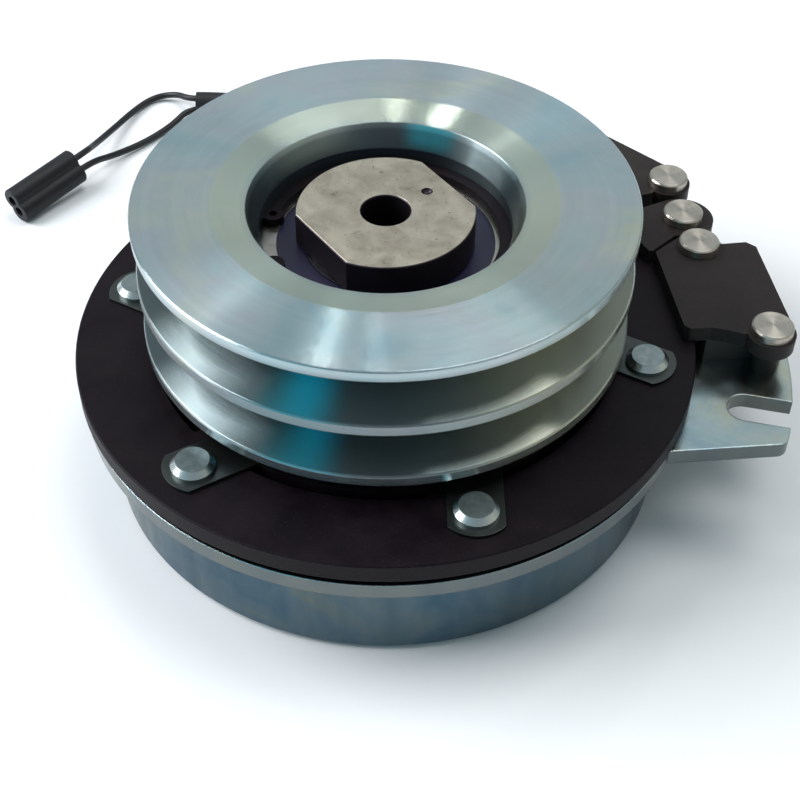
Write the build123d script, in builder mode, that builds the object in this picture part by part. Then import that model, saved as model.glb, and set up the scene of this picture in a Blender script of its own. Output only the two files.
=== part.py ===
from build123d import *
from math import cos, pi, radians, sin, tan
import os

# Electromagnetic clutch and brake for a 1 1/8 inch engine crankshaft, in millimetres.
# Z is the axis of rotation, with z = 0 at the mouth of the crankshaft bore, which is also the
# surface that the clutch stands on. +X runs through the middle of the torque slot.

# Overall levels, counted up from the bottom face
pulley_top = 95.0
hub_top = 90.25
armature_top = 46.1
armature_t = 6.35
air_gap = 0.5
plate_top = 37.2
plate_t = 5.0
case_base_t = 6.0

# Pulley: two grooves for 17 mm (B section) belts
pulley_r = 71.4
rim_t = 3.6
groove_pitch = 19.05
groove_depth = 13.8
groove_half_angle = 19.0
rim_chamfer = 0.4
bore_edge_r = 39.3
bore_edge_drop = 1.9
dish_r = 49.0
lip_drop = 9.0
boss_r = 57.0
pulley_inner_r = 31.5

# Pulley bearing, 35 x 72 x 17, and field bearing, 45 x 75 x 16
pulley_bearing = {"bore_r": 17.5, "outer_r": 36.0, "width": 17.0, "bottom": 62.5,
                  "ball_r": 5.5, "balls": 9, "seal_r": 31.3}
field_bearing = {"bore_r": 22.5, "outer_r": 37.5, "width": 16.0, "bottom": 4.0,
                 "ball_r": 4.4, "balls": 12, "seal_r": 34.0}
inner_land_factor = 0.62
outer_land_factor = 0.65
cage_factor = 0.24
race_gap = 0.08
cage_gap = 0.12
seal_t = 1.2
seal_recess = 0.4
seal_gap = 0.1

# Retaining rings above the two bearings, and the grooves that hold them
pulley_ring = {"outer_r": 37.4, "inner_r": 32.6, "thickness": 2.4, "gap_at": 197.0, "gap_half": 19.4}
field_ring = {"outer_r": 38.9, "inner_r": 34.4, "thickness": 2.2, "gap_at": 40.0, "gap_half": 17.0}
ring_gap = 0.05
ring_side_gap = 0.1
ring_lug_r = 3.2
ring_lug_inset = 0.2
ring_hole_r = 1.15

# Hub
crank_r = 14.29
crank_depth = 56.0
keyway_w = 6.35
keyway_r = 17.6
bolt_r = 7.0
hub_r = 24.0
hub_flange_w = 3.0
hub_flange_t = 4.0
hub_relief = 1.2
collar_r = 25.5
collar_seat_r = 22.4
collar_relief = 0.6
collar_chamfer = 0.35
collar_flat = 22.0
collar_flat_angle = 48.4
spigot_r = 16.5
dimple_at = 14.7
dimple_turn = 2.0
dimple_r = 1.8
dimple_centre_h = 0.6

# Armature, rotor and leaf springs
armature_r = 92.7
armature_inner_r = 54.0
armature_chamfer = 0.4
rotor_r = 81.0
rotor_t = 6.5
rotor_rim_t = 3.5
rotor_rim_bottom = 28.0
rotor_recess = 1.7
rotor_recess_w = 2.0
flux_slots = 6
flux_slot_w = 3.0
flux_slot_r = 68.0
flux_slot_arc = (8, 44)
inner_slot_r = 52.0
inner_slot_arc = (12, 36)
springs = 6
spring_phase = 1.4
spring_skew = 17.6
spring_t = 1.0
spring_gap = 0.05
spring_w = 15.6
spring_end_r = 10.3
spring_reach = 8.5
spring_length = 38.0
outer_rivet_at = 78.4
outer_rivet_r = 3.5
outer_rivet_head_r = 6.3
outer_rivet_head_h = 2.8
outer_rivet_bevel = 1.55
outer_rivet_rim_h = 1.2
outer_rivet_foot_gap = 0.15
outer_rivet_hole_gap = 0.1
countersink = 2.0
inner_rivet_r = 2.8
inner_rivet_head_r = 5.0
inner_rivet_head_h = 2.2
inner_rivet_depth = 10.0

# Field case, coil and torque plate
case_r = 85.1
case_wall = 3.5
case_corner = 2.0
case_bore_r = 33.0
core_r = 51.5
core_top = 31.0
coil_inner_r = 57.0
coil_outer_r = 76.0
coil_bottom = 7.0
coil_top = 26.0
bobbin_t = 1.2
winding_gap = 1.0
potting_t = 1.2
plate_r = 91.8
lug_r = 122.3
lug_corners = ((60.0, -32.6), (136.4, -7.4), (110.0, 110.0), (28.5, 134.0), (-16.3, 66.3))
lug_corner_r = 4.0
slot_w = 11.0
slot_end_x = 103.4

# Brake: two long shoes with a short one between them, on five headed pins
long_shoe_angles = (20.3, 59.7)
short_shoe_angle = 40.0
shoe_t = 4.9
shoe_gap = 0.05
ear_r = 7.3
long_shoe_pins = ((101.5, 20.6), (112.6, -21.1))
long_shoe_outline = ((87.5, -15.0), (89.0, -16.8), (95.5, -17.2), (100.0, -18.7), (104.0, -21.0),
                     (112.6, -21.1), (119.7, -21.1), (119.7, 18.6), (117.1, 21.2), (101.5, 21.2),
                     (97.3, 26.6), (87.5, 19.8))
short_shoe_pin = (106.6, 0.0)
short_shoe_r = 9.9
short_shoe_outline = ((87.5, -9.3), (88.5, -10.1), (100.3, -6.5), (106.6, -9.9), (106.6, 9.9),
                      (88.8, 10.4), (87.5, 9.0))
short_shoe_scallop = (102.5, -14.8)
short_shoe_scallop_r = 7.9
magnet_at = 94.6
long_magnet_size = (24.8, 32.4)
long_magnet_side = -16.8
short_magnet_size = (7.0, 12.0)
short_magnet_side = -5.5
pin_head_r = 6.3
pin_head_h = 2.9
pin_chamfer = 0.5
pin_r = 3.0
spacer_r = 3.8
pin_tail_r = 4.2
pin_tail_h = 1.5

# Leads: a sleeve out of the case, two wires and a two-way connector on the surface below
lead_angle = 109.0
lead_z = 14.0
grommet_r = 7.3
grommet_hole_r = 6.2
grommet_flange_t = 1.4
sleeve_r = 4.75
sleeve_bore_r = 3.6
sleeve_bore_depth = 6.5
wire_r = 1.25
sleeve_route = [(-26.05, 75.64, 14.0), (-33.86, 98.33, 14.0), (-44.0, 125.0, 7.0),
                (-63.5, 150.5, 4.8), (-91.3, 166.2, 4.8), (-118.5, 159.9, 4.8)]
wire_a_route = [(-112.46, 162.63, 6.1), (-121.7, 160.5, 6.1), (-129.6, 167.0, 3.2),
                (-138.6, 165.8, 1.3), (-143.2, 156.6, 1.3), (-146.9, 135.0, 3.0),
                (-147.2, 119.0, 7.0), (-146.0, 110.4, 10.72), (-149.04, 104.14, 10.26)]
wire_b_route = [(-111.88, 160.1, 3.5), (-121.13, 157.95, 3.5), (-125.0, 147.5, 1.4),
                (-131.5, 134.0, 1.3), (-139.6, 121.6, 2.2), (-143.45, 109.4, 7.0),
                (-146.50, 103.16, 6.54)]
connector_start = (-147.8, 103.6, 8.4)
connector_end = (-161.1, 76.5, 6.4)
connector_across = (-0.551, 0.213, 0.809)
barrel_r = 4.2
barrel_offset = 2.6
barrel_chamfer = 0.4
socket_r = 1.9
socket_offset = 2.3
socket_depth = 13.0
terminal_r = 1.2
terminal_length = 22.0
terminal_recess = 2.5

# Worked out from the dimensions above
armature_bottom = armature_top - armature_t
spring_bottom = armature_top + spring_gap
spring_top = spring_bottom + spring_t
rotor_top = armature_bottom - air_gap
rotor_bottom = rotor_top - rotor_t
plate_bottom = plate_top - plate_t
case_inner_r = case_r - case_wall
shoe_bottom = armature_top + shoe_gap
shoe_top = shoe_bottom + shoe_t
groove_w = groove_pitch - rim_t
groove_rise = groove_depth * tan(radians(groove_half_angle))
groove_bottom_r = pulley_r - groove_depth
pulley_bottom = pulley_top - 2 * groove_pitch - rim_t
pulley_race_top = pulley_bearing["bottom"] + pulley_bearing["width"]
field_race_top = field_bearing["bottom"] + field_bearing["width"]

os.makedirs("parts", exist_ok=True)


def save(piece, name):
    """Label a finished piece and write its STEP file."""
    piece.part.label = name
    export_step(piece.part, f"parts/{name}.step")


def turned(name, outline):
    """A piece turned about Z from a closed outline of (radius, height) points."""
    with BuildPart() as piece:
        with BuildSketch(Plane.XZ):
            with BuildLine():
                Polyline(*outline, close=True)
            make_face()
        revolve(axis=Axis.Z)
    save(piece, name)


def around(radius, angle):
    """Point at a radius and an angle about Z."""
    return radius * cos(radians(angle)), radius * sin(radians(angle))


def ring_of(points_at, first):
    """Points at a radius, one for each leaf spring, the first at a given angle."""
    return [around(points_at, first + number * 360 / springs) for number in range(springs)]


def rims(piece, radius):
    """Circular edges of a piece at a radius."""
    return piece.edges().filter_by(GeomType.CIRCLE).filter_by(lambda e: abs(e.radius - radius) < 0.01)


def radial_plane(angle, height):
    """Horizontal plane at a height, with its X axis pointing out along an angle."""
    x_dir = (cos(radians(angle)), sin(radians(angle)), 0)
    return Plane(origin=(0, 0, height), x_dir=x_dir, z_dir=(0, 0, 1))


# ---------------------------------------------------------------- bearings
def make_bearing(prefix, size):
    """Deep groove ball bearing: two races, balls, a crown cage and a pair of seals."""
    middle = size["bottom"] + size["width"] / 2
    top = size["bottom"] + size["width"]
    pitch_r = (size["bore_r"] + size["outer_r"]) / 2
    ball_r = size["ball_r"]
    inner_land = pitch_r - inner_land_factor * ball_r
    outer_land = pitch_r + outer_land_factor * ball_r

    with BuildPart() as inner:
        with BuildSketch(Plane.XZ):
            with Locations(((size["bore_r"] + inner_land) / 2, middle)):
                Rectangle(inner_land - size["bore_r"], size["width"])
            with Locations((pitch_r, middle)):
                Circle(ball_r + race_gap, mode=Mode.SUBTRACT)
        revolve(axis=Axis.Z)
    save(inner, f"{prefix}_bearing_inner_race")

    step = seal_recess + seal_t
    with BuildPart() as outer:
        with BuildSketch(Plane.XZ):
            with Locations(((outer_land + size["outer_r"]) / 2, middle)):
                Rectangle(size["outer_r"] - outer_land, size["width"])
            with Locations((pitch_r, middle)):
                Circle(ball_r + race_gap, mode=Mode.SUBTRACT)
            seats = ((0, size["bottom"]), (0, top - step))
            with Locations(*seats):
                Rectangle(size["seal_r"], step, align=(Align.MIN, Align.MIN), mode=Mode.SUBTRACT)
        revolve(axis=Axis.Z)
    save(outer, f"{prefix}_bearing_outer_race")

    with BuildPart() as balls:
        with Locations((0, 0, middle)):
            with PolarLocations(pitch_r, size["balls"]):
                Sphere(ball_r)
    save(balls, f"{prefix}_bearing_balls")

    cage_half = ball_r * cage_factor
    cage_top = top - step - 2 * cage_gap
    with BuildPart() as cage:
        with BuildSketch(Plane.XY.offset(middle - ball_r / 2)):
            Circle(pitch_r + cage_half)
            Circle(pitch_r - cage_half, mode=Mode.SUBTRACT)
        extrude(amount=cage_top - middle + ball_r / 2)
        with Locations((0, 0, middle)):
            with PolarLocations(pitch_r, size["balls"]):
                Sphere(ball_r + cage_gap, mode=Mode.SUBTRACT)
    save(cage, f"{prefix}_bearing_cage")

    for name, bottom in (("lower", size["bottom"] + seal_recess), ("upper", top - step)):
        lip_r = inner_land + seal_gap
        turned(f"{prefix}_bearing_{name}_seal",
               [(lip_r, bottom), (size["seal_r"], bottom), (size["seal_r"], bottom + seal_t),
                (lip_r, bottom + seal_t)])


make_bearing("pulley", pulley_bearing)
make_bearing("field", field_bearing)


def make_snap_ring(name, size, bottom):
    """Internal retaining ring with a gap and two lugs with plier holes."""
    ends = (size["gap_at"] - size["gap_half"], size["gap_at"] + size["gap_half"])
    reach = 1.5 * size["outer_r"]
    lug_at = size["outer_r"] - ring_lug_r - ring_lug_inset
    with BuildPart() as ring:
        with BuildSketch(Plane.XY.offset(bottom + ring_gap)):
            Circle(size["outer_r"])
            Circle(size["inner_r"], mode=Mode.SUBTRACT)
            with BuildLine():
                Polyline((0, 0), around(reach, ends[0]), around(reach, ends[1]), close=True)
            make_face(mode=Mode.SUBTRACT)
            with Locations(around(lug_at, ends[0]), around(lug_at, ends[1])):
                Circle(ring_lug_r)
                Circle(ring_hole_r, mode=Mode.SUBTRACT)
        extrude(amount=size["thickness"])
    save(ring, name)


make_snap_ring("pulley_snap_ring", pulley_ring, pulley_race_top)
make_snap_ring("field_snap_ring", field_ring, field_race_top)

# ---------------------------------------------------------------- pulley
pulley_seat_r = pulley_bearing["outer_r"]
pulley_ring_groove_r = pulley_ring["outer_r"] + ring_side_gap
pulley_ring_groove_top = pulley_race_top + pulley_ring["thickness"] + ring_side_gap
rivet_points = ring_of(outer_rivet_at, spring_phase)
spring_steps = ring_of(spring_length, spring_phase - spring_skew)
spring_roots = [(tip[0] - step[0], tip[1] - step[1]) for tip, step in zip(rivet_points, spring_steps)]

with BuildPart() as pulley:
    with BuildSketch(Plane.XZ):
        with BuildLine():
            Polyline((pulley_inner_r, spring_top), (boss_r, spring_top),
                     (boss_r, pulley_bottom), (pulley_r, pulley_bottom),
                     (pulley_r, pulley_top), (dish_r, pulley_top),
                     (bore_edge_r, pulley_top - bore_edge_drop),
                     (pulley_seat_r, pulley_top - lip_drop),
                     (pulley_seat_r, pulley_ring_groove_top),
                     (pulley_ring_groove_r, pulley_ring_groove_top),
                     (pulley_ring_groove_r, pulley_race_top), (pulley_seat_r, pulley_race_top),
                     (pulley_seat_r, pulley_bearing["bottom"]),
                     (pulley_inner_r, pulley_bearing["bottom"]), close=True)
        make_face()
        for groove_top in (pulley_top - rim_t, pulley_top - rim_t - groove_pitch):
            with BuildLine():
                Polyline((pulley_r + 1, groove_top), (pulley_r, groove_top),
                         (groove_bottom_r, groove_top - groove_rise),
                         (groove_bottom_r, groove_top - groove_w + groove_rise),
                         (pulley_r, groove_top - groove_w),
                         (pulley_r + 1, groove_top - groove_w), close=True)
            make_face(mode=Mode.SUBTRACT)
    revolve(axis=Axis.Z)
    chamfer(rims(pulley, pulley_r), length=rim_chamfer)
    with BuildSketch(Plane.XY.offset(spring_top)):
        with Locations(*spring_roots):
            Circle(inner_rivet_r)
    extrude(amount=inner_rivet_depth, mode=Mode.SUBTRACT)
save(pulley, "pulley")

# ---------------------------------------------------------------- armature, springs and rivets
with BuildPart() as armature:
    with BuildSketch(Plane.XY.offset(armature_bottom)):
        Circle(armature_r)
        Circle(armature_inner_r, mode=Mode.SUBTRACT)
        with PolarLocations(0, flux_slots):
            SlotArc(CenterArc((0, 0), flux_slot_r, *flux_slot_arc), flux_slot_w, mode=Mode.SUBTRACT)
    extrude(amount=armature_t)
    chamfer(rims(armature, armature_r), length=armature_chamfer)
    with Locations(*[(x, y, armature_bottom) for x, y in rivet_points]):
        Cylinder(outer_rivet_r, armature_t, align=(Align.CENTER, Align.CENTER, Align.MIN),
                 mode=Mode.SUBTRACT)
        Cone(outer_rivet_r + countersink, outer_rivet_r, countersink,
             align=(Align.CENTER, Align.CENTER, Align.MIN), mode=Mode.SUBTRACT)
save(armature, "armature")

for number, (tip, root) in enumerate(zip(rivet_points, spring_roots), start=1):
    middle = ((tip[0] + root[0]) / 2, (tip[1] + root[1]) / 2, spring_bottom)
    along = (tip[0] - root[0], tip[1] - root[1], 0)
    with BuildPart() as leaf_spring:
        with BuildSketch(Plane(origin=middle, x_dir=along, z_dir=(0, 0, 1))):
            Rectangle(spring_length + 2 * spring_reach, spring_w)
            SlotOverall(spring_length + 2 * spring_reach, 2 * spring_end_r, mode=Mode.INTERSECT)
            with Locations((spring_length / 2, 0)):
                Circle(outer_rivet_r + outer_rivet_hole_gap, mode=Mode.SUBTRACT)
            with Locations((-spring_length / 2, 0)):
                Circle(inner_rivet_r, mode=Mode.SUBTRACT)
        extrude(amount=spring_t)
    save(leaf_spring, f"leaf_spring_{number}")

head_top = spring_top + outer_rivet_head_h
head_face_r = outer_rivet_head_r - outer_rivet_bevel
head_rim_top = spring_top + outer_rivet_rim_h
foot_bottom = armature_bottom + outer_rivet_foot_gap
foot_r = outer_rivet_r + countersink - outer_rivet_foot_gap
with BuildPart() as armature_rivets:
    for x, y in rivet_points:
        with BuildSketch(Plane(origin=(x, y, 0), x_dir=(1, 0, 0), z_dir=(0, -1, 0))):
            with BuildLine():
                Polyline((0, foot_bottom), (foot_r, foot_bottom),
                         (outer_rivet_r, armature_bottom + countersink), (outer_rivet_r, spring_top),
                         (outer_rivet_head_r, spring_top), (outer_rivet_head_r, head_rim_top),
                         (head_face_r, head_top), (0, head_top), close=True)
            make_face()
        revolve(axis=Axis((x, y, 0), (0, 0, 1)))
save(armature_rivets, "armature_rivets")

with BuildPart() as pulley_rivets:
    for x, y in spring_roots:
        with BuildSketch(Plane.XY.offset(spring_bottom - inner_rivet_head_h)):
            with Locations((x, y)):
                Circle(inner_rivet_head_r)
        extrude(amount=inner_rivet_head_h)
        with BuildSketch(Plane.XY.offset(spring_bottom)):
            with Locations((x, y)):
                Circle(inner_rivet_r)
        extrude(amount=spring_t + inner_rivet_depth)
save(pulley_rivets, "pulley_rivets")

# ---------------------------------------------------------------- rotor and hub
rotor_face_bottom = rotor_top - rotor_recess
with BuildPart() as rotor:
    with BuildSketch(Plane.XZ):
        with BuildLine():
            Polyline((hub_r, rotor_bottom), (rotor_r - rotor_rim_t, rotor_bottom),
                     (rotor_r - rotor_rim_t, rotor_rim_bottom), (rotor_r, rotor_rim_bottom),
                     (rotor_r, rotor_top), (armature_inner_r, rotor_top),
                     (armature_inner_r - rotor_recess_w, rotor_face_bottom),
                     (hub_r, rotor_face_bottom), close=True)
        make_face()
    revolve(axis=Axis.Z)
    with BuildSketch(Plane.XY.offset(rotor_bottom)):
        with PolarLocations(0, flux_slots):
            SlotArc(CenterArc((0, 0), flux_slot_r, *flux_slot_arc), flux_slot_w)
            SlotArc(CenterArc((0, 0), inner_slot_r, *inner_slot_arc), flux_slot_w)
    extrude(amount=rotor_t, mode=Mode.SUBTRACT)
save(rotor, "rotor")

with BuildPart() as rotor_hub:
    with BuildSketch(Plane.XZ):
        with BuildLine():
            Polyline((crank_r, 0), (field_bearing["bore_r"], 0),
                     (field_bearing["bore_r"], field_race_top), (hub_r, field_race_top),
                     (hub_r, rotor_bottom - hub_flange_t),
                     (hub_r + hub_flange_w, rotor_bottom - hub_flange_t),
                     (hub_r + hub_flange_w, rotor_bottom), (hub_r, rotor_bottom),
                     (hub_r, rotor_top + 1), (hub_r - hub_relief, rotor_top + 1 + hub_relief),
                     (hub_r - hub_relief, pulley_bearing["bottom"]),
                     (spigot_r, pulley_bearing["bottom"]), (spigot_r, crank_depth),
                     (crank_r, crank_depth), close=True)
        make_face()
    revolve(axis=Axis.Z)
    with BuildSketch():
        Rectangle(keyway_r, keyway_w, align=(Align.MIN, Align.CENTER))
    extrude(amount=crank_depth, mode=Mode.SUBTRACT)
save(rotor_hub, "rotor_hub")

collar_bottom = pulley_race_top + collar_relief
with BuildPart() as hub_collar:
    with BuildSketch(Plane.XZ):
        with BuildLine():
            Polyline((bolt_r, crank_depth), (spigot_r, crank_depth),
                     (spigot_r, pulley_bearing["bottom"]),
                     (pulley_bearing["bore_r"], pulley_bearing["bottom"]),
                     (pulley_bearing["bore_r"], pulley_race_top), (collar_seat_r, pulley_race_top),
                     (collar_seat_r, collar_bottom), (collar_r, collar_bottom),
                     (collar_r, hub_top), (bolt_r, hub_top), close=True)
        make_face()
    revolve(axis=Axis.Z)
    with BuildSketch(radial_plane(collar_flat_angle, collar_bottom)):
        Circle(2 * collar_r)
        Rectangle(2 * collar_flat, 4 * collar_r, mode=Mode.SUBTRACT)
    extrude(amount=hub_top, mode=Mode.SUBTRACT)
    chamfer(hub_collar.edges().group_by(Axis.Z)[-1], length=collar_chamfer)
    dimple = around(dimple_at, collar_flat_angle + dimple_turn)
    with Locations((*dimple, hub_top + dimple_centre_h)):
        Sphere(dimple_r, mode=Mode.SUBTRACT)
save(hub_collar, "hub_collar")

# ---------------------------------------------------------------- field case, coil and torque plate
lead_out = Vector(*around(1, lead_angle))
lead_plane = Plane(origin=(0, 0, lead_z), x_dir=(lead_out.Y, -lead_out.X, 0), z_dir=lead_out)
field_seat_r = field_bearing["outer_r"]
field_ring_groove_r = field_ring["outer_r"] + ring_side_gap
field_ring_groove_top = field_race_top + field_ring["thickness"] + ring_side_gap

with BuildPart() as field_case:
    with BuildSketch(Plane.XZ):
        with BuildLine():
            Polyline((case_bore_r, 0), (case_r - case_corner, 0), (case_r, case_corner),
                     (case_r, plate_bottom), (case_inner_r, plate_bottom),
                     (case_inner_r, case_base_t), (field_seat_r, case_base_t),
                     (field_seat_r, field_bearing["bottom"]),
                     (case_bore_r, field_bearing["bottom"]), close=True)
        make_face()
    revolve(axis=Axis.Z)
    with BuildSketch(lead_plane.offset(case_inner_r - case_wall)):
        Circle(grommet_hole_r)
    extrude(amount=3 * case_wall, mode=Mode.SUBTRACT)
save(field_case, "field_case")

turned("field_core", [(field_seat_r, case_base_t), (core_r, case_base_t), (core_r, core_top),
                      (field_seat_r, core_top), (field_seat_r, field_ring_groove_top),
                      (field_ring_groove_r, field_ring_groove_top),
                      (field_ring_groove_r, field_race_top), (field_seat_r, field_race_top)])

coil_w = coil_outer_r - coil_inner_r
coil_h = coil_top - coil_bottom
with BuildPart() as coil_bobbin:
    with BuildSketch(Plane.XZ):
        with Locations((coil_inner_r, coil_bottom)):
            Rectangle(coil_w, coil_h, align=(Align.MIN, Align.MIN))
        with Locations((coil_inner_r + bobbin_t, coil_bottom + bobbin_t)):
            Rectangle(coil_w, coil_h - 2 * bobbin_t, align=(Align.MIN, Align.MIN), mode=Mode.SUBTRACT)
    revolve(axis=Axis.Z)
save(coil_bobbin, "coil_bobbin")

turned("coil_winding", [(coil_inner_r + bobbin_t, coil_bottom + bobbin_t),
                        (coil_outer_r - winding_gap, coil_bottom + bobbin_t),
                        (coil_outer_r - winding_gap, coil_top - bobbin_t),
                        (coil_inner_r + bobbin_t, coil_top - bobbin_t)])
turned("coil_potting", [(core_r, case_base_t), (coil_outer_r, case_base_t),
                        (coil_outer_r, coil_bottom), (coil_inner_r, coil_bottom),
                        (coil_inner_r, coil_top), (coil_outer_r, coil_top),
                        (coil_outer_r, coil_top + potting_t), (core_r, coil_top + potting_t)])

pins_by_angle = [(angle, pin) for angle in long_shoe_angles for pin in long_shoe_pins]
shoe_pins = []
for angle, pin in [*pins_by_angle, (short_shoe_angle, short_shoe_pin)]:
    place = radial_plane(angle, 0).from_local_coords((*pin, 0))
    shoe_pins.append((place.X, place.Y))

with BuildPart() as torque_plate:
    with BuildSketch(Plane.XY.offset(plate_bottom)) as plate_outline:
        with BuildLine():
            Polyline(*lug_corners, close=True)
        make_face()
        Circle(lug_r, mode=Mode.INTERSECT)
        tips = plate_outline.vertices().filter_by(lambda v: Vector(v.X, v.Y).length > lug_r - 1)
        fillet(tips, radius=lug_corner_r)
        Circle(plate_r)
        Circle(case_inner_r, mode=Mode.SUBTRACT)
        with Locations((slot_end_x + slot_w / 2, 0)):
            Circle(slot_w / 2, mode=Mode.SUBTRACT)
            Rectangle(lug_r, slot_w, align=(Align.MIN, Align.CENTER), mode=Mode.SUBTRACT)
        with Locations(*shoe_pins):
            Circle(pin_r, mode=Mode.SUBTRACT)
    extrude(amount=plate_t)
save(torque_plate, "torque_plate")

# ---------------------------------------------------------------- brake
for name, angle in zip(("lower", "upper"), long_shoe_angles):
    with BuildPart() as brake_shoe:
        with BuildSketch(radial_plane(angle, shoe_bottom)):
            with BuildLine():
                Polyline(*long_shoe_outline, close=True)
            make_face()
            with Locations(*long_shoe_pins):
                Circle(ear_r)
                Circle(pin_r, mode=Mode.SUBTRACT)
        extrude(amount=shoe_t)
    save(brake_shoe, f"brake_shoe_{name}")

    with BuildPart() as brake_magnet:
        with BuildSketch(radial_plane(angle, plate_top)):
            with Locations((magnet_at, long_magnet_side)):
                Rectangle(*long_magnet_size, align=(Align.MIN, Align.MIN))
        extrude(amount=shoe_bottom - plate_top)
    save(brake_magnet, f"brake_magnet_{name}")

with BuildPart() as brake_shoe_middle:
    with BuildSketch(radial_plane(short_shoe_angle, shoe_bottom)):
        with BuildLine():
            Polyline(*short_shoe_outline, close=True)
        make_face()
        with Locations(short_shoe_pin):
            Circle(short_shoe_r)
            Circle(pin_r, mode=Mode.SUBTRACT)
        with Locations(short_shoe_scallop):
            Circle(short_shoe_scallop_r, mode=Mode.SUBTRACT)
    extrude(amount=shoe_t)
save(brake_shoe_middle, "brake_shoe_middle")

with BuildPart() as brake_magnet_middle:
    with BuildSketch(radial_plane(short_shoe_angle, plate_top)):
        with Locations((magnet_at, short_magnet_side)):
            Rectangle(*short_magnet_size, align=(Align.MIN, Align.MIN))
    extrude(amount=shoe_bottom - plate_top)
save(brake_magnet_middle, "brake_magnet_middle")

with BuildPart() as brake_spacers:
    with BuildSketch(Plane.XY.offset(plate_top)):
        with Locations(*shoe_pins):
            Circle(spacer_r)
            Circle(pin_r, mode=Mode.SUBTRACT)
    extrude(amount=shoe_bottom - plate_top)
save(brake_spacers, "brake_spacers")

with BuildPart() as brake_pins:
    with BuildSketch(Plane.XY.offset(plate_bottom - pin_tail_h)):
        with Locations(*shoe_pins):
            Circle(pin_tail_r)
    extrude(amount=pin_tail_h)
    with BuildSketch(Plane.XY.offset(plate_bottom)):
        with Locations(*shoe_pins):
            Circle(pin_r)
    extrude(amount=shoe_top - plate_bottom)
    with BuildSketch(Plane.XY.offset(shoe_top)):
        with Locations(*shoe_pins):
            Circle(pin_head_r)
    extrude(amount=pin_head_h)
    chamfer(brake_pins.edges().group_by(Axis.Z)[-1], length=pin_chamfer)
save(brake_pins, "brake_pins")


# ---------------------------------------------------------------- leads and connector
def bend_radii(route):
    """Bend radius at each inner corner of a route, from its runs and its turns."""
    corners = [Vector(*point) for point in route]
    radii = []
    for before, corner, after in zip(corners, corners[1:], corners[2:]):
        arriving = corner - before
        leaving = after - corner
        half_turn = arriving.get_angle(leaving) / 2
        radii.append(0.45 * min(arriving.length, leaving.length) / tan(radians(half_turn)))
    return radii


def swept(name, route, radius, recess=None):
    """A round cord along a route, with a recess (radius, depth) in its end if one is given."""
    radii = bend_radii(route)
    with BuildPart() as cord:
        with BuildLine():
            path = FilletPolyline(*route, radius=radii)
        with BuildSketch(Plane(origin=path @ 0, z_dir=path % 0)):
            Circle(radius)
        sweep()
        ratio = cord.part.volume / (pi * radius ** 2 * path.length)
        if recess:
            with BuildSketch(Plane(origin=path @ 1, z_dir=path % 1)):
                Circle(recess[0])
            extrude(amount=-recess[1], mode=Mode.SUBTRACT)
    print(name, "bend radii", [round(r, 1) for r in radii], "length", round(path.length, 1),
          "volume ratio", round(ratio, 4))
    save(cord, name)


flange_bottom = case_inner_r - grommet_flange_t
grommet_length = case_wall + 2 * grommet_flange_t
with BuildPart() as lead_grommet:
    with BuildSketch(lead_plane.offset(flange_bottom)):
        Circle(grommet_r)
    extrude(amount=grommet_length)
    with BuildSketch():
        Circle(case_r)
        Circle(case_inner_r, mode=Mode.SUBTRACT)
    extrude(amount=plate_bottom, mode=Mode.SUBTRACT)
    with BuildSketch(lead_plane.offset(flange_bottom)):
        Circle(grommet_hole_r)
    extrude(amount=grommet_length)
    with BuildSketch(lead_plane.offset(flange_bottom - 1)):
        Circle(sleeve_r)
    extrude(amount=grommet_length + 2, mode=Mode.SUBTRACT)
save(lead_grommet, "lead_grommet")

swept("lead_sleeve", sleeve_route, sleeve_r, recess=(sleeve_bore_r, sleeve_bore_depth))
swept("lead_wire_a", wire_a_route, wire_r)
swept("lead_wire_b", wire_b_route, wire_r)

connector_run = Vector(*connector_end) - Vector(*connector_start)
connector_length = connector_run.length
connector_face = Plane(origin=connector_start, x_dir=connector_across, z_dir=connector_run)
barrels = [(barrel_offset, 0), (-barrel_offset, 0)]
sockets = [(socket_offset, 0), (-socket_offset, 0)]
with BuildPart() as connector_housing:
    with BuildSketch(connector_face):
        with Locations(*barrels):
            Circle(barrel_r)
    extrude(amount=connector_length)
    chamfer(connector_housing.edges().filter_by(GeomType.CIRCLE), length=barrel_chamfer)
    with BuildSketch(connector_face.offset(connector_length)):
        with Locations(*sockets):
            Circle(socket_r)
    extrude(amount=-socket_depth, mode=Mode.SUBTRACT)
    with BuildSketch(connector_face.offset(connector_length - terminal_recess)):
        with Locations(*sockets):
            Circle(terminal_r)
    extrude(amount=-terminal_length, mode=Mode.SUBTRACT)
save(connector_housing, "connector_housing")

with BuildPart() as connector_terminals:
    with BuildSketch(connector_face.offset(connector_length - terminal_recess)):
        with Locations(*sockets):
            Circle(terminal_r)
    extrude(amount=-terminal_length)
save(connector_terminals, "connector_terminals")
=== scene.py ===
import math

import bmesh
import bpy
from mathutils import Matrix, Vector


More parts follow.
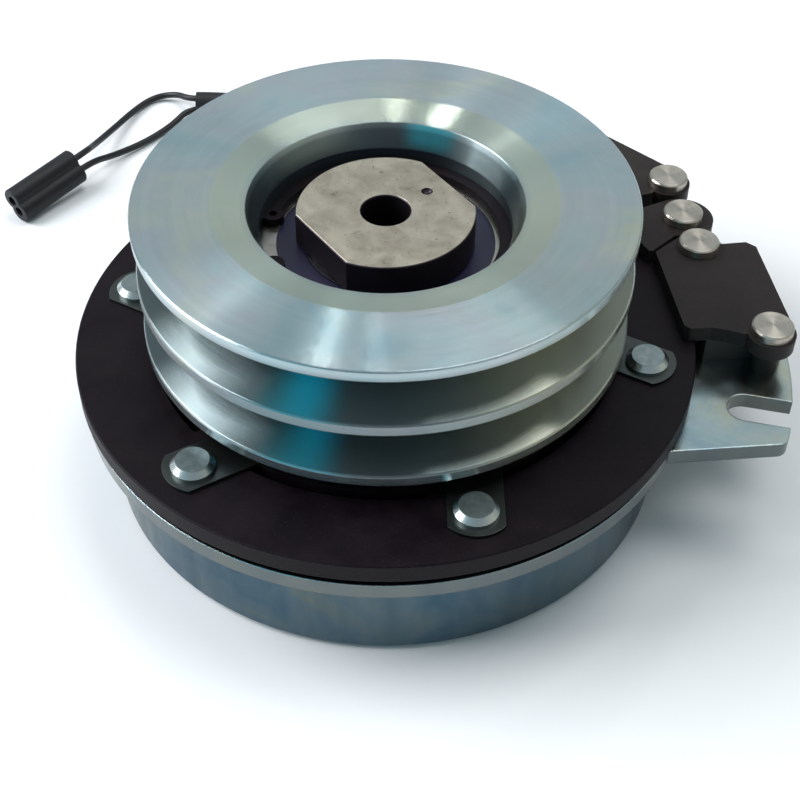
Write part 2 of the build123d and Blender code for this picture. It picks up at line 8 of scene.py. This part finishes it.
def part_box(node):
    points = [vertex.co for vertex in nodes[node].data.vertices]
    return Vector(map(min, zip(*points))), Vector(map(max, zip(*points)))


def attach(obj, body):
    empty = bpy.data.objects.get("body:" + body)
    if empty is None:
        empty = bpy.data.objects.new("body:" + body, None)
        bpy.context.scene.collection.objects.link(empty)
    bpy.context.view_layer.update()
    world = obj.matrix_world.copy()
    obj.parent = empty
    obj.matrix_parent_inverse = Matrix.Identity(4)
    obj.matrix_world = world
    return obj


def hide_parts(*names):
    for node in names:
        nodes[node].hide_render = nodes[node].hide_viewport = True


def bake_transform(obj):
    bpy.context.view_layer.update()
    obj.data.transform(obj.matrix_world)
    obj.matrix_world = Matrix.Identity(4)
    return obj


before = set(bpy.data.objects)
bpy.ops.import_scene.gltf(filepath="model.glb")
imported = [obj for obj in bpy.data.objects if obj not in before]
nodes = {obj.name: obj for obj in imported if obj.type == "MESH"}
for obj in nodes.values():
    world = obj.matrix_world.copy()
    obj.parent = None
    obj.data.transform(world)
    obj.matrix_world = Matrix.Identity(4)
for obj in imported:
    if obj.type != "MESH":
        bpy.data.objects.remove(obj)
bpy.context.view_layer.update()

# Looks, light and camera for an electromagnetic clutch. Everything is in metres, in the frame of
# the imported model: Z is the axis of rotation, the clutch stands on z = 0 and +X is the torque slot.

# Heights and radii where a piece's finish or its painted shade changes
plate_top = 0.0372
hub_top = 0.09025
rivet_face = 0.0499
groove_lip_r = 0.0713
bore_r = 0.0396
dish_r = 0.0495

# Pitch of the coil's wire, and the part of a turn that lays the gloss along turned rings
wire_pitch = 0.0007
ring_turn = 0.25


class Graph:
    """A tree of shader nodes, with short calls that add nodes and link them."""

    def __init__(self, owner):
        owner.use_nodes = True
        self.tree = owner.node_tree
        self.coordinates = self.add("ShaderNodeTexCoord").outputs

    def add(self, kind, **settings):
        node = self.tree.nodes.new(kind)
        for key, value in settings.items():
            setattr(node, key, value)
        return node

    def put(self, socket, value):
        """Link an output to a socket, or set the socket to a constant."""
        if isinstance(value, bpy.types.NodeSocket):
            self.tree.links.new(value, socket)
        else:
            socket.default_value = value

    def math(self, operation, *values):
        node = self.add("ShaderNodeMath", operation=operation)
        for socket, value in zip(node.inputs, values):
            self.put(socket, value)
        return node.outputs[0]

    def vector_math(self, operation, *values, output=0):
        node = self.add("ShaderNodeVectorMath", operation=operation)
        for socket, value in zip(node.inputs, values):
            self.put(socket, value)
        return node.outputs[output]

    def xyz(self, vector):
        return self.add_linked("ShaderNodeSeparateXYZ", vector).outputs

    def combine(self, x, y, z):
        node = self.add("ShaderNodeCombineXYZ")
        for socket, value in zip(node.inputs, (x, y, z)):
            self.put(socket, value)
        return node.outputs[0]

    def add_linked(self, kind, source):
        node = self.add(kind)
        self.tree.links.new(source, node.inputs[0])
        return node

    def polar(self, vector=None):
        """Radius, angle and height of the position about the axis of rotation."""
        x, y, z = self.xyz(vector or self.position)
        radius = self.math("SQRT", self.math("ADD", self.math("MULTIPLY", x, x), self.math("MULTIPLY", y, y)))
        return radius, self.math("ARCTAN2", y, x), z

    def noise(self, vector, scale, detail=3.0, roughness=0.5, distortion=0.0):
        node = self.add("ShaderNodeTexNoise")
        self.put(node.inputs["Vector"], vector)
        node.inputs["Scale"].default_value = scale
        node.inputs["Detail"].default_value = detail
        node.inputs["Roughness"].default_value = roughness
        node.inputs["Distortion"].default_value = distortion
        return node.outputs["Fac"]

    def ramp(self, value, *stops):
        """Colour ramp through (position, colour) stops."""
        node = self.add_linked("ShaderNodeValToRGB", value)
        elements = node.color_ramp.elements
        while len(elements) < len(stops):
            elements.new(0.5)
        for element, (place, colour) in zip(elements, stops):
            element.position = place
            element.color = (*colour, 1)
        return node.outputs["Color"]

    def remap(self, value, low, high, to_low, to_high):
        node = self.add("ShaderNodeMapRange")
        for socket, number in zip(node.inputs, (value, low, high, to_low, to_high)):
            self.put(socket, number)
        return node.outputs[0]

    def mix(self, factor, first, second, blend="MIX"):
        node = self.add("ShaderNodeMix", data_type="RGBA", blend_type=blend)
        self.put(node.inputs["Factor"], factor)
        for socket, colour in ((node.inputs["A"], first), (node.inputs["B"], second)):
            sockets = [s for s in node.inputs if s.name == socket.name and s.type == "RGBA"]
            self.put(sockets[0], colour if isinstance(colour, bpy.types.NodeSocket) else (*colour, 1))
        return [s for s in node.outputs if s.type == "RGBA"][0]

    def bump(self, height, strength, distance, normal=None):
        node = self.add("ShaderNodeBump")
        node.inputs["Strength"].default_value = strength
        node.inputs["Distance"].default_value = distance
        self.put(node.inputs["Height"], height)
        if normal is not None:
            self.put(node.inputs["Normal"], normal)
        return node.outputs[0]

    def dome(self, value, middle, half_width, flat=0.0):
        """1 within a flat distance of the middle, falling smoothly to 0 a half-width away."""
        away = self.math("ABSOLUTE", self.math("SUBTRACT", value, middle))
        node = self.add("ShaderNodeMapRange", interpolation_type="SMOOTHERSTEP")
        for socket, number in zip(node.inputs, (away, flat, half_width, 1.0, 0.0)):
            self.put(socket, number)
        return node.outputs[0]


class Surface(Graph):
    """One procedural material, for a node or a stage object."""

    def __init__(self, name, metallic=0.0, roughness=0.5, anisotropic=0.0, specular=0.5):
        self.material = bpy.data.materials.new(name)
        super().__init__(self.material)
        self.shader = self.tree.nodes["Principled BSDF"]
        self.shader.inputs["Metallic"].default_value = metallic
        self.shader.inputs["Roughness"].default_value = roughness
        self.shader.inputs["Anisotropic"].default_value = anisotropic
        self.shader.inputs["Specular IOR Level"].default_value = specular
        self.position = self.coordinates["Object"]

    def soft_edges(self, radius):
        """Normals rounded over the piece's edges, as a broken edge or a coating does."""
        node = self.add("ShaderNodeBevel", samples=4)
        node.inputs["Radius"].default_value = radius
        return node.outputs[0]

    def finish(self, colour=None, roughness=None, normal=None, tangent=None):
        for name, value in (("Base Color", colour), ("Roughness", roughness), ("Normal", normal),
                            ("Tangent", tangent)):
            if value is not None:
                self.put(self.shader.inputs[name], value)
        return self.material


def turned_zinc(name):
    """Zinc plating over turned steel: fine rings, pale blue, lilac and straw passivation colours, a straw
    tint on the right that is also a painted warm reflection, painted shade in the bore, the grooves and below
    the top face, and a painted blue-green reflection in the grooves.
    """
    g = Surface(name, metallic=0.95, anisotropic=1.0)
    g.shader.inputs["Anisotropic Rotation"].default_value = ring_turn
    radius, angle, height = g.polar()
    rings = g.noise(g.combine(radius, g.math("MULTIPLY", angle, 0.00012), height), 5200, 2.0)
    wide = g.noise(g.combine(radius, g.math("MULTIPLY", angle, 0.002), height), 420, 2.0)
    film = g.noise(g.position, 30, 3.0, 0.5, 0.5)
    cloud = g.noise(g.position, 75, 4.0, 0.6, 0.3)
    colour = g.ramp(film, (0.30, (0.36, 0.52, 0.58)), (0.44, (0.47, 0.57, 0.60)), (0.54, (0.50, 0.54, 0.59)),
                    (0.66, (0.54, 0.59, 0.52)), (0.76, (0.55, 0.58, 0.45)))
    colour = g.mix(g.remap(cloud, 0.35, 0.75, 0.0, 0.6), colour, (0.42, 0.54, 0.56))
    colour = g.mix(g.remap(wide, 0.3, 0.75, 0.0, 0.18), colour, (0.30, 0.38, 0.40))
    inside_dish = g.remap(radius, dish_r - 0.001, dish_r, 1.0, 0.0)
    dish = g.math("MULTIPLY", inside_dish, g.remap(height, 0.0925, 0.0935, 0.0, 1.0))
    colour = g.mix(g.math("MULTIPLY", dish, 0.75), colour, (0.52, 0.58, 0.48))
    inside_bore = g.remap(radius, bore_r - 0.0006, bore_r, 1.0, 0.0)
    bore = g.math("MULTIPLY", inside_bore, g.remap(height, 0.0855, 0.0865, 0.0, 1.0))
    # Painted shade: the bore's inner wall is darkened a little.
    colour = g.mix(g.math("MULTIPLY", bore, 0.2), colour, (0.20, 0.25, 0.26))
    inside_lips = g.remap(radius, groove_lip_r - 0.0007, groove_lip_r, 1.0, 0.0)
    groove = g.math("MULTIPLY", inside_lips, g.remap(height, 0.0912, 0.0916, 1.0, 0.0))
    # Painted shade: the belt grooves are darkened.
    colour = g.mix(g.math("MULTIPLY", groove, 0.75), colour, (0.15, 0.20, 0.20))
    # Painted shade: everything below the top face, rims and grooves, is darkened against the top.
    lower = g.remap(height, 0.0915, 0.0935, 0.55, 0.0)
    colour = g.mix(lower, colour, (0.12, 0.15, 0.16))
    # A straw film tint on the right-front rims and grooves, which also serves as a painted warm reflection
    # there.
    straw = g.math("MULTIPLY", g.dome(angle, -0.35, 1.1), g.remap(height, 0.0915, 0.0935, 0.50, 0.15))
    colour = g.mix(straw, colour, (0.52, 0.50, 0.36))
    # Painted reflection: a blue-green patch drawn into the grooves at a fixed angle.
    painted_teal_reflection = g.math("MULTIPLY", g.dome(angle, -1.68, 0.22), groove)
    colour = g.mix(g.math("MULTIPLY", painted_teal_reflection, 0.65), colour, (0.06, 0.62, 0.75))
    roughness = g.remap(g.math("ADD", g.math("MULTIPLY", rings, 0.5), g.math("MULTIPLY", cloud, 0.5)),
                        0.3, 0.7, 0.17, 0.25)
    normal = g.bump(rings, 0.05, 0.00001, g.soft_edges(0.00035))
    tangent = g.add("ShaderNodeTangent", direction_type="RADIAL", axis="Z").outputs[0]
    return g.finish(colour, roughness, normal, tangent)


def rolled_zinc(name, films, roughness, face_height=None):
    """Zinc plated sheet: blotched film with faint drawn streaks, and painted shade on the cut edge below its
    top face.
    """
    g = Surface(name, metallic=1.0)
    radius, angle, height = g.polar()
    streak = g.noise(g.combine(g.math("MULTIPLY", angle, 0.085), g.math("MULTIPLY", height, 0.12), radius),
                     160, 3.0, 0.6)
    film = g.noise(g.position, 42, 4.0, 0.6, 0.8)
    grain = g.noise(g.position, 1500, 2.0)
    colour = g.ramp(film, (0.32, films[0]), (0.48, films[1]), (0.60, films[2]), (0.74, films[3]))
    colour = g.mix(g.remap(streak, 0.4, 0.75, 0.0, 0.4), colour, tuple(0.75 * c for c in films[0]))
    # Painted shade: the cut edge below the top face is darkened.
    if face_height is not None:
        below = g.remap(height, face_height - 0.0002, face_height - 0.00005, 0.88, 0.0)
        colour = g.mix(below, colour, (0.09, 0.10, 0.10))
    spread = g.remap(streak, 0.3, 0.7, roughness, roughness + 0.10)
    normal = g.bump(grain, 0.12, 0.00004, g.soft_edges(0.0006))
    return g.finish(colour, spread, normal)


def ground_steel(name):
    """Ground steel with pits and stains, on a pressed hub, with painted shade on its walls below the top."""
    g = Surface(name, metallic=0.85, roughness=0.4)
    pits = g.noise(g.position, 900, 2.0, 0.6)
    stains = g.noise(g.position, 120, 5.0, 0.65, 0.4)
    grain = g.noise(g.position, 3800, 2.0)
    colour = g.ramp(stains, (0.25, (0.14, 0.11, 0.08)), (0.36, (0.34, 0.30, 0.24)),
                    (0.55, (0.43, 0.39, 0.32)), (0.75, (0.50, 0.46, 0.38)))
    spots = g.remap(pits, 0.66, 0.74, 0.0, 0.8)
    colour = g.mix(spots, colour, (0.10, 0.08, 0.06))
    _, _, height = g.polar()
    # Painted shade: the hub's walls below its top face are coloured near black.
    painted_wall_shade = g.remap(height, hub_top - 0.00015, hub_top - 0.00003, 1.0, 0.0)
    colour = g.mix(painted_wall_shade, colour, (0.035, 0.027, 0.035))
    roughness = g.remap(stains, 0.3, 0.7, 0.34, 0.5)
    relief = g.math("ADD", grain, g.math("MULTIPLY", spots, -1.5))
    return g.finish(colour, roughness, g.bump(relief, 0.25, 0.00005, g.soft_edges(0.0001)))


def black_oxide(name, colour_low, colour_high, roughness_low, roughness_high):
    """Blackened steel with a brown cast, fine grain and rubbed edges."""
    g = Surface(name, specular=0.12)
    blotch = g.noise(g.position, 60, 5.0, 0.6, 0.3)
    grain = g.noise(g.position, 1800, 3.0, 0.7)
    colour = g.mix(g.remap(blotch, 0.3, 0.7, 0.0, 1.0), colour_low, colour_high)
    colour = g.mix(g.remap(grain, 0.62, 0.75, 0.0, 0.35), colour, (0.12, 0.10, 0.10))
    roughness = g.remap(blotch, 0.3, 0.7, roughness_low, roughness_high)
    normal = g.bump(grain, 0.3, 0.00005, g.soft_edges(0.0003))
    return g.finish(colour, roughness, normal)


def moulded(name, colour, roughness, bump=0.2, specular=0.5):
    """Moulded rubber or plastic with a fine matt grain."""
    g = Surface(name, specular=specular)
    grain = g.noise(g.position, 2600, 3.0, 0.6)
    cloud = g.noise(g.position, 90, 3.0)
    tone = g.mix(g.remap(cloud, 0.3, 0.7, 0.0, 0.5), colour, tuple(1.6 * c + 0.004 for c in colour))
    roughness = g.remap(cloud, 0.3, 0.7, roughness - 0.06, roughness + 0.06)
    return g.finish(tone, roughness, g.bump(grain, bump, 0.00004, g.soft_edges(0.0003)))


def faced_steel(name, centres, colour, roughness):
    """Bright steel with rings turned round the nearest of several centres, for heads of pins and rivets."""
    g = Surface(name, metallic=1.0, anisotropic=0.8)
    g.shader.inputs["Anisotropic Rotation"].default_value = ring_turn
    x, y, z = g.xyz(g.position)
    flat = g.combine(x, y, 0.0)
    offset = g.vector_math("SUBTRACT", flat, (*centres[0], 0.0))
    for centre in centres[1:]:
        other = g.vector_math("SUBTRACT", flat, (*centre, 0.0))
        nearer = g.math("LESS_THAN", g.vector_math("LENGTH", other, output="Value"),
                        g.vector_math("LENGTH", offset, output="Value"))
        blend = g.add("ShaderNodeMix", data_type="VECTOR")
        g.put(blend.inputs["Factor"], nearer)
        vectors = [s for s in blend.inputs if s.type == "VECTOR" and s.name in "AB"]
        g.put(vectors[0], offset)
        g.put(vectors[1], other)
        offset = [s for s in blend.outputs if s.type == "VECTOR"][0]
    away, angle, _ = g.polar(offset)
    rings = g.noise(g.combine(away, g.math("MULTIPLY", angle, 0.0001), z), 3600, 2.0)
    tangent = g.vector_math("NORMALIZE", g.vector_math("CROSS_PRODUCT", (0.0, 0.0, 1.0), offset))
    cloud = g.noise(g.position, 160, 3.0)
    dark = tuple(0.62 * c for c in colour)
    tone = g.mix(g.remap(rings, 0.3, 0.7, 0.0, 0.6), colour, dark)
    tone = g.mix(g.remap(cloud, 0.5, 0.8, 0.0, 0.5), tone, dark)
    spread = g.remap(cloud, 0.3, 0.7, roughness - 0.05, roughness + 0.07)
    return g.finish(tone, spread, g.bump(rings, 0.2, 0.00003, g.soft_edges(0.0003)), tangent)


def plain_metal(name, colour, roughness):
    """Metal with a fine grain and slight staining, for hidden or small pieces."""
    g = Surface(name, metallic=1.0)
    grain = g.noise(g.position, 2400, 2.0)
    cloud = g.noise(g.position, 140, 4.0, 0.6)
    tone = g.mix(g.remap(cloud, 0.35, 0.75, 0.0, 0.6), colour, tuple(0.55 * c for c in colour))
    spread = g.remap(cloud, 0.3, 0.7, roughness - 0.06, roughness + 0.08)
    return g.finish(tone, spread, g.bump(grain, 0.15, 0.00003, g.soft_edges(0.0002)))


def headed_steel(name):
    """Plated rivet heads: a dull flat face inside a bevel coloured bright as a painted highlight."""
    g = Surface(name, metallic=1.0)
    _, _, height = g.polar()
    face = g.remap(height, rivet_face - 0.00015, rivet_face, 0.0, 1.0)
    cloud = g.noise(g.position, 420, 4.0, 0.6)
    grain = g.noise(g.position, 2600, 2.0)
    dull = g.mix(g.remap(cloud, 0.35, 0.7, 0.0, 1.0), (0.20, 0.25, 0.26), (0.30, 0.35, 0.35))
    # Painted highlight: the bevel below the face is coloured much brighter than the face.
    colour = g.mix(face, (0.55, 0.60, 0.60), dull)
    roughness = g.remap(height, rivet_face - 0.00015, rivet_face, 0.26, 0.42)
    return g.finish(colour, roughness, g.bump(grain, 0.15, 0.00003, g.soft_edges(0.00015)))


def wound_copper(name):
    """Layers of enamelled wire on a coil."""
    g = Surface(name, metallic=1.0, roughness=0.32)
    radius, _, height = g.polar()
    turn = g.math("SINE", g.math("MULTIPLY", height, 2 * math.pi / wire_pitch))
    layer = g.math("SINE", g.math("MULTIPLY", radius, 2 * math.pi / wire_pitch))
    colour = g.mix(g.remap(turn, -1.0, 1.0, 0.0, 0.6), (0.50, 0.20, 0.09), (0.68, 0.32, 0.14))
    return g.finish(colour, None, g.bump(g.math("ADD", turn, layer), 0.5, 0.0001))


# ---------------------------------------------------------------- pieces and their materials
def centre_of_solids(node):
    """Middle of each loose solid of a node, seen from above."""
    mesh = nodes[node].data
    parent = list(range(len(mesh.vertices)))

    def root(i):
        while parent[i] != i:
            parent[i] = parent[parent[i]]
            i = parent[i]
        return i

    places = {}
    for vertex in mesh.vertices:
        key = tuple(round(c, 6) for c in vertex.co)
        parent[vertex.index] = places.setdefault(key, vertex.index)
    for edge in mesh.edges:
        first, second = root(edge.vertices[0]), root(edge.vertices[1])
        parent[first] = second
    groups = {}
    for vertex in mesh.vertices:
        groups.setdefault(root(vertex.index), []).append(vertex.co)
    middles = []
    for group in groups.values():
        xs = [co.x for co in group]
        ys = [co.y for co in group]
        middles.append(((min(xs) + max(xs)) / 2, (min(ys) + max(ys)) / 2))
    return middles


zinc = turned_zinc("zinc_turned")
plate_zinc = rolled_zinc("zinc_plate", ((0.36, 0.50, 0.56), (0.50, 0.62, 0.64), (0.58, 0.64, 0.58),
                                        (0.62, 0.60, 0.44)), 0.17, plate_top)
# The case's film colours are set far darker than zinc: painted shade for the dim floor it reflects.
case_zinc = rolled_zinc("zinc_case", ((0.055, 0.11, 0.155), (0.085, 0.14, 0.175), (0.105, 0.15, 0.17),
                                      (0.13, 0.16, 0.145)), 0.28)
hub_steel = ground_steel("hub_ground_steel")
dark_steel = black_oxide("armature_black_oxide", (0.004, 0.002, 0.004), (0.011, 0.007, 0.010), 0.42, 0.58)
shoe_steel = black_oxide("shoe_black_oxide", (0.024, 0.019, 0.018), (0.036, 0.030, 0.029), 0.40, 0.52)
strip_steel = plain_metal("spring_strip_steel", (0.085, 0.095, 0.092), 0.36)
race_steel = plain_metal("bearing_race_steel", (0.42, 0.40, 0.37), 0.24)
# The pulley bearing's inner race, seen in the gap between hub and seal, is coloured much darker than the
# other races.
dark_race_steel = plain_metal("bearing_race_dark", (0.07, 0.07, 0.08), 0.40)
seal_rubber = moulded("seal_rubber", (0.014, 0.013, 0.040), 0.36, specular=0.35)
lead_rubber = moulded("lead_rubber", (0.010, 0.010, 0.012), 0.40, specular=0.35)
housing_plastic = moulded("connector_plastic", (0.011, 0.011, 0.013), 0.50, specular=0.28)
resin = moulded("coil_resin", (0.02, 0.02, 0.02), 0.5)
magnet_black = moulded("magnet_ferrite", (0.028, 0.026, 0.026), 0.55, 0.4)
brass = plain_metal("terminal_brass", (0.78, 0.60, 0.28), 0.25)
pin_steel = faced_steel("pin_turned_steel", centre_of_solids("brake_pins"), (0.60, 0.55, 0.48), 0.30)
rivet_steel = headed_steel("rivet_plated_steel")

finishes = {
    zinc: ["pulley"],
    plate_zinc: ["torque_plate"],
    case_zinc: ["field_case", "field_core"],
    hub_steel: ["hub_collar", "rotor_hub"],
    dark_steel: ["armature", "rotor", "pulley_snap_ring", "field_snap_ring"],
    shoe_steel: ["brake_shoe_lower", "brake_shoe_middle", "brake_shoe_upper", "brake_spacers"],
    strip_steel: [f"leaf_spring_{number}" for number in range(1, 7)] + ["pulley_rivets"],
    race_steel: ["field_bearing_outer_race", "field_bearing_inner_race", "field_bearing_balls",
                 "field_bearing_cage", "pulley_bearing_outer_race", "pulley_bearing_balls",
                 "pulley_bearing_cage"],
    dark_race_steel: ["pulley_bearing_inner_race"],
    seal_rubber: ["field_bearing_lower_seal", "field_bearing_upper_seal", "pulley_bearing_lower_seal",
                  "pulley_bearing_upper_seal"],
    lead_rubber: ["lead_grommet"],
    housing_plastic: ["connector_housing"],
    resin: ["coil_bobbin", "coil_potting"],
    wound_copper("coil_enamelled_copper"): ["coil_winding"],
    magnet_black: ["brake_magnet_lower", "brake_magnet_middle", "brake_magnet_upper"],
    brass: ["connector_terminals"],
    pin_steel: ["brake_pins"],
    rivet_steel: ["armature_rivets"],
}
for material, names in finishes.items():
    for name in names:
        mesh = nodes[name].data
        mesh.materials.clear()
        mesh.materials.append(material)

# ---------------------------------------------------------------- leaf springs
spring_stations = 9
flat_part = 0.2
rivet_middles = [Vector((*middle, 0)) for middle in centre_of_solids("armature_rivets")]


def flexing_spring(node):
    """A copy of a leaf spring, cut across at stations from its root toward the rivet at its tip, in place of
    the node.
    """
    low, high = (Vector(corner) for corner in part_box(node))
    middle = (low + high) / 2
    tip = min(rivet_middles, key=lambda rivet: (rivet - middle).xy.length)
    half = Vector((tip.x - middle.x, tip.y - middle.y, 0))
    start = middle - half * (1 - 2 * flat_part)
    end = middle + half * (1 - 2 * flat_part)
    mesh = nodes[node].data.copy()
    cut = bmesh.new()
    cut.from_mesh(mesh)
    for station in range(spring_stations):
        place = start.lerp(end, station / (spring_stations - 1))
        everything = cut.verts[:] + cut.edges[:] + cut.faces[:]
        bmesh.ops.bisect_plane(cut, geom=everything, plane_co=place, plane_no=half)
    cut.to_mesh(mesh)
    cut.free()
    spring = bpy.data.objects.new(f"{node}_flexing", mesh)
    bpy.context.scene.collection.objects.link(spring)
    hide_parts(node)
    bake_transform(spring)


for number in range(1, 7):
    flexing_spring(f"leaf_spring_{number}")

# ---------------------------------------------------------------- lead
sleeve_radius = 0.00475
wire_radius = 0.00125
sleeve_route = [(-0.02605, 0.07564, 0.0140), (-0.03386, 0.09833, 0.0140), (-0.0440, 0.1250, 0.0070),
                (-0.0635, 0.1505, 0.0048), (-0.0913, 0.1662, 0.0048), (-0.1185, 0.1599, 0.0048)]
wire_a_route = [(-0.11246, 0.16263, 0.0061), (-0.1217, 0.1605, 0.0061), (-0.1296, 0.1670, 0.0032),
                (-0.1386, 0.1658, 0.0013), (-0.1432, 0.1566, 0.0013), (-0.1469, 0.1350, 0.0030),
                (-0.1472, 0.1190, 0.0070), (-0.1460, 0.1104, 0.01072), (-0.14904, 0.10414, 0.01026)]
wire_b_route = [(-0.11188, 0.1601, 0.0035), (-0.12113, 0.15795, 0.0035), (-0.1250, 0.1475, 0.0014),
                (-0.1315, 0.1340, 0.0013), (-0.1396, 0.1216, 0.0022), (-0.14345, 0.1094, 0.0070),
                (-0.14650, 0.10316, 0.00654)]


def cord_curve(name, route, radius, material):
    """A round cord on one smooth NURBS line through its route's control points."""
    curve = bpy.data.curves.new(name, "CURVE")
    curve.dimensions = "3D"
    curve.resolution_u = 16
    curve.bevel_depth = radius
    curve.bevel_resolution = 8
    curve.use_fill_caps = True
    spline = curve.splines.new("NURBS")
    spline.points.add(len(route) - 1)
    for point, place in zip(spline.points, route):
        point.co = (*place, 1)
    spline.order_u = 3
    spline.use_endpoint_u = True
    cord = bpy.data.objects.new(name, curve)
    bpy.context.scene.collection.objects.link(cord)
    curve.materials.append(material)
    return cord


def run_length(cord):
    """Length of a cord's own line."""
    line = cord.data.copy()
    line.bevel_depth = 0
    holder = bpy.data.objects.new("measure", line)
    mesh = bpy.data.meshes.new_from_object(holder)
    points = [vertex.co for vertex in mesh.vertices]
    bpy.data.objects.remove(holder)
    return sum((b - a).length for a, b in zip(points, points[1:]))


sleeve = cord_curve("lead_sleeve_cord", sleeve_route, sleeve_radius, lead_rubber)
wire_a = cord_curve("lead_wire_a_cord", wire_a_route, wire_radius, lead_rubber)
wire_b = cord_curve("lead_wire_b_cord", wire_b_route, wire_radius, lead_rubber)
for cord, node in ((sleeve, "lead_sleeve"), (wire_a, "lead_wire_a"), (wire_b, "lead_wire_b")):
    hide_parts(node)
    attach(cord, "field")
run_length(sleeve)
run_length(wire_a)
run_length(wire_b)

# ---------------------------------------------------------------- floor, light and camera
floor_material = Surface("floor_white", roughness=0.6, specular=0.25)
floor_shade = floor_material.noise(floor_material.position, 3.0)
floor_material.finish(floor_material.mix(floor_shade, (0.86, 0.87, 0.88), (0.90, 0.90, 0.91)))
bpy.ops.mesh.primitive_grid_add(x_subdivisions=8, y_subdivisions=8, size=6, location=(0, 0, -0.0002))
floor = bpy.context.object
floor.name = "floor"
floor.data.materials.append(floor_material.material)

world = bpy.data.worlds.new("studio")
bpy.context.scene.world = world
room = Graph(world)
east, north, rise = room.xyz(room.coordinates["Generated"])
bearing = room.math("ARCTAN2", north, east)
behind = room.math("MULTIPLY", room.dome(bearing, 1.75, 1.1), room.dome(rise, 0.58, 0.32))
front = room.math("MULTIPLY", room.dome(bearing, -1.35, 1.7), room.dome(rise, 0.10, 0.55))
warm = room.math("MULTIPLY", room.dome(bearing, -0.15, 1.1), room.dome(rise, 0.20, 0.55))
cool = room.math("MULTIPLY", room.dome(bearing, -1.98, 0.52, 0.10), room.dome(rise, 0.24, 0.30, 0.12))
light_tone = room.mix(behind, (0.30, 0.35, 0.38), (0.60, 0.66, 0.68))
light_tone = room.mix(front, light_tone, (0.05, 0.06, 0.08))
light_tone = room.mix(warm, light_tone, (0.62, 0.62, 0.50))
light_tone = room.mix(cool, light_tone, (0.05, 0.85, 1.05))
room.put(room.tree.nodes["Background"].inputs["Color"], light_tone)


def softbox(name, place, target, size, energy, colour):
    """A rectangular area light that faces a point."""
    light = bpy.data.lights.new(name, "AREA")
    light.shape = "RECTANGLE"
    light.size, light.size_y = size
    light.energy = energy
    light.color = colour
    holder = bpy.data.objects.new(name, light)
    holder.location = place
    holder.rotation_mode = "QUATERNION"
    holder.rotation_quaternion = (Vector(target) - Vector(place)).to_track_quat("-Z", "Y")
    bpy.context.scene.collection.objects.link(holder)
    return holder


softbox("window_left", (-1.7, -0.25, 1.35), (0, 0, 0.03), (1.5, 1.4), 54, (0.97, 0.98, 1.0))
softbox("lamp_left", (-0.968, 0.586, 1.64), (0, 0, 0.05), (0.05, 0.05), 0.8, (1.0, 0.99, 0.95))
softbox("lamp_middle", (-0.418, 0.865, 1.76), (0, 0, 0.05), (0.05, 0.05), 1.0, (1.0, 0.99, 0.95))
softbox("lamp_right", (-0.2535, 0.8645, 1.78), (0, 0, 0.05), (0.04, 0.04), 0.35, (1.0, 0.99, 0.95))
softbox("ceiling", (0.5, 0.5, 2.2), (0, 0, 0.0), (1.2, 1.2), 19, (1.0, 1.0, 1.0))

camera_data = bpy.data.cameras.new("camera")
camera_data.lens = 67.02
camera_data.sensor_width = 36.0
camera_data.clip_start = 0.02
camera = bpy.data.objects.new("camera", camera_data)
bpy.context.scene.collection.objects.link(camera)
forward = Vector((-0.16095, 0.69364, -0.7021)).normalized()
roll = math.radians(0.300)
level_right = forward.cross(Vector((0, 0, 1))).normalized()
level_up = level_right.cross(forward)
right = level_right * math.cos(roll) + level_up * math.sin(roll)
up = level_up * math.cos(roll) - level_right * math.sin(roll)
turn = Matrix((right, up, -forward)).transposed().to_4x4()
camera.matrix_world = Matrix.Translation((0.0800, -0.3258, 0.34606)) @ turn
bpy.context.scene.camera = camera
bpy.context.scene.view_settings.view_transform = "Standard"
